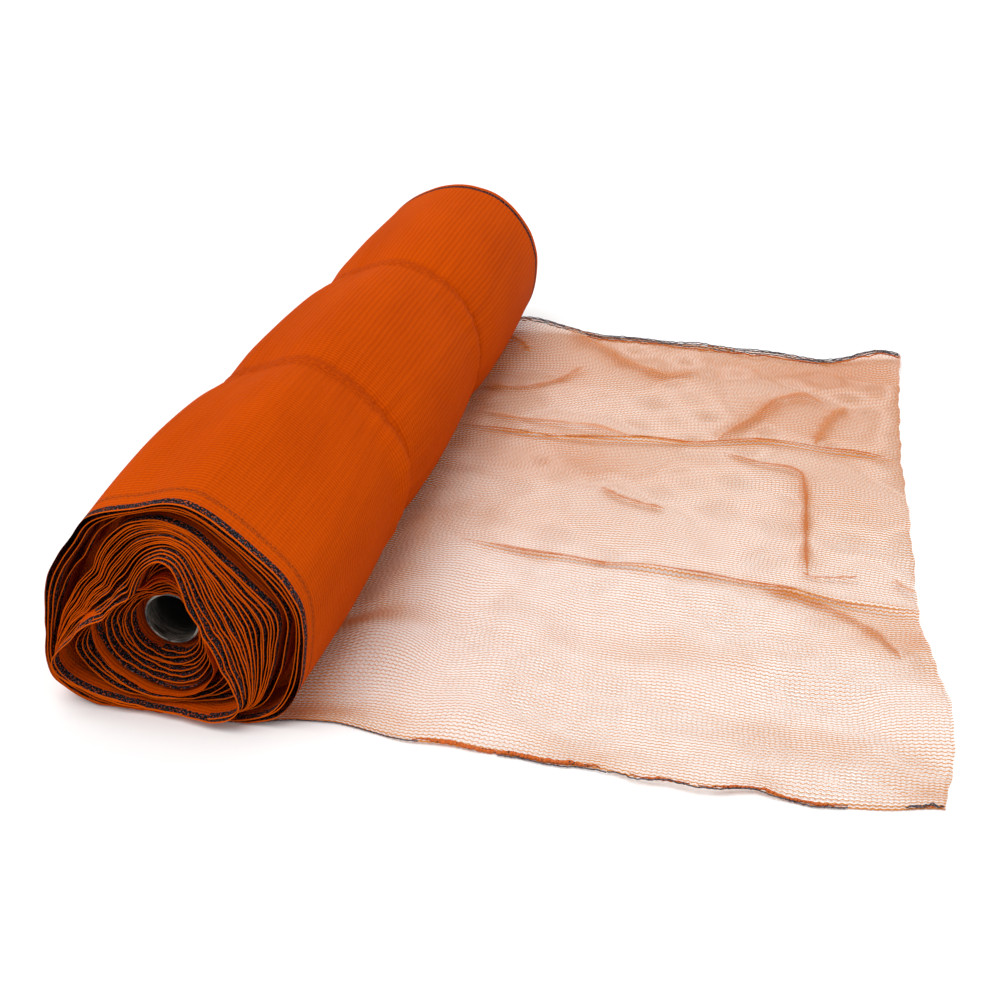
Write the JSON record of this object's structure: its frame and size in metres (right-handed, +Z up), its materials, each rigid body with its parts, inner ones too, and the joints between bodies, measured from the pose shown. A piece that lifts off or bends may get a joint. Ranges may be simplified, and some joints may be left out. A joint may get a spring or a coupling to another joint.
{
  "type": "partly unrolled roll of debris netting",
  "caption": "Slack roll of knitted orange debris netting wound on a plastic core tube, lying on its side, with a loose see-through end spread out flat on the floor beside it.",
  "frame": {"origin": "on the floor, under the middle of the roll's length, where the wound netting lies flat", "axes": "+Y along the roll, away from the end whose turns have slipped; +X over the floor towards the cut end of the loose netting; +Z up"},
  "size_m": [1.6653, 2.034, 0.4564],
  "materials": {
    "netting_cloth": "open warp-knitted mesh with darker selvedges, see-through in a single layer",
    "core_plastic": "worn grey extruded plastic"
  },
  "bodies": {
    "root": {"netting": "netting_cloth", "core_tube": "core_plastic"}
  },
  "joints": []
}
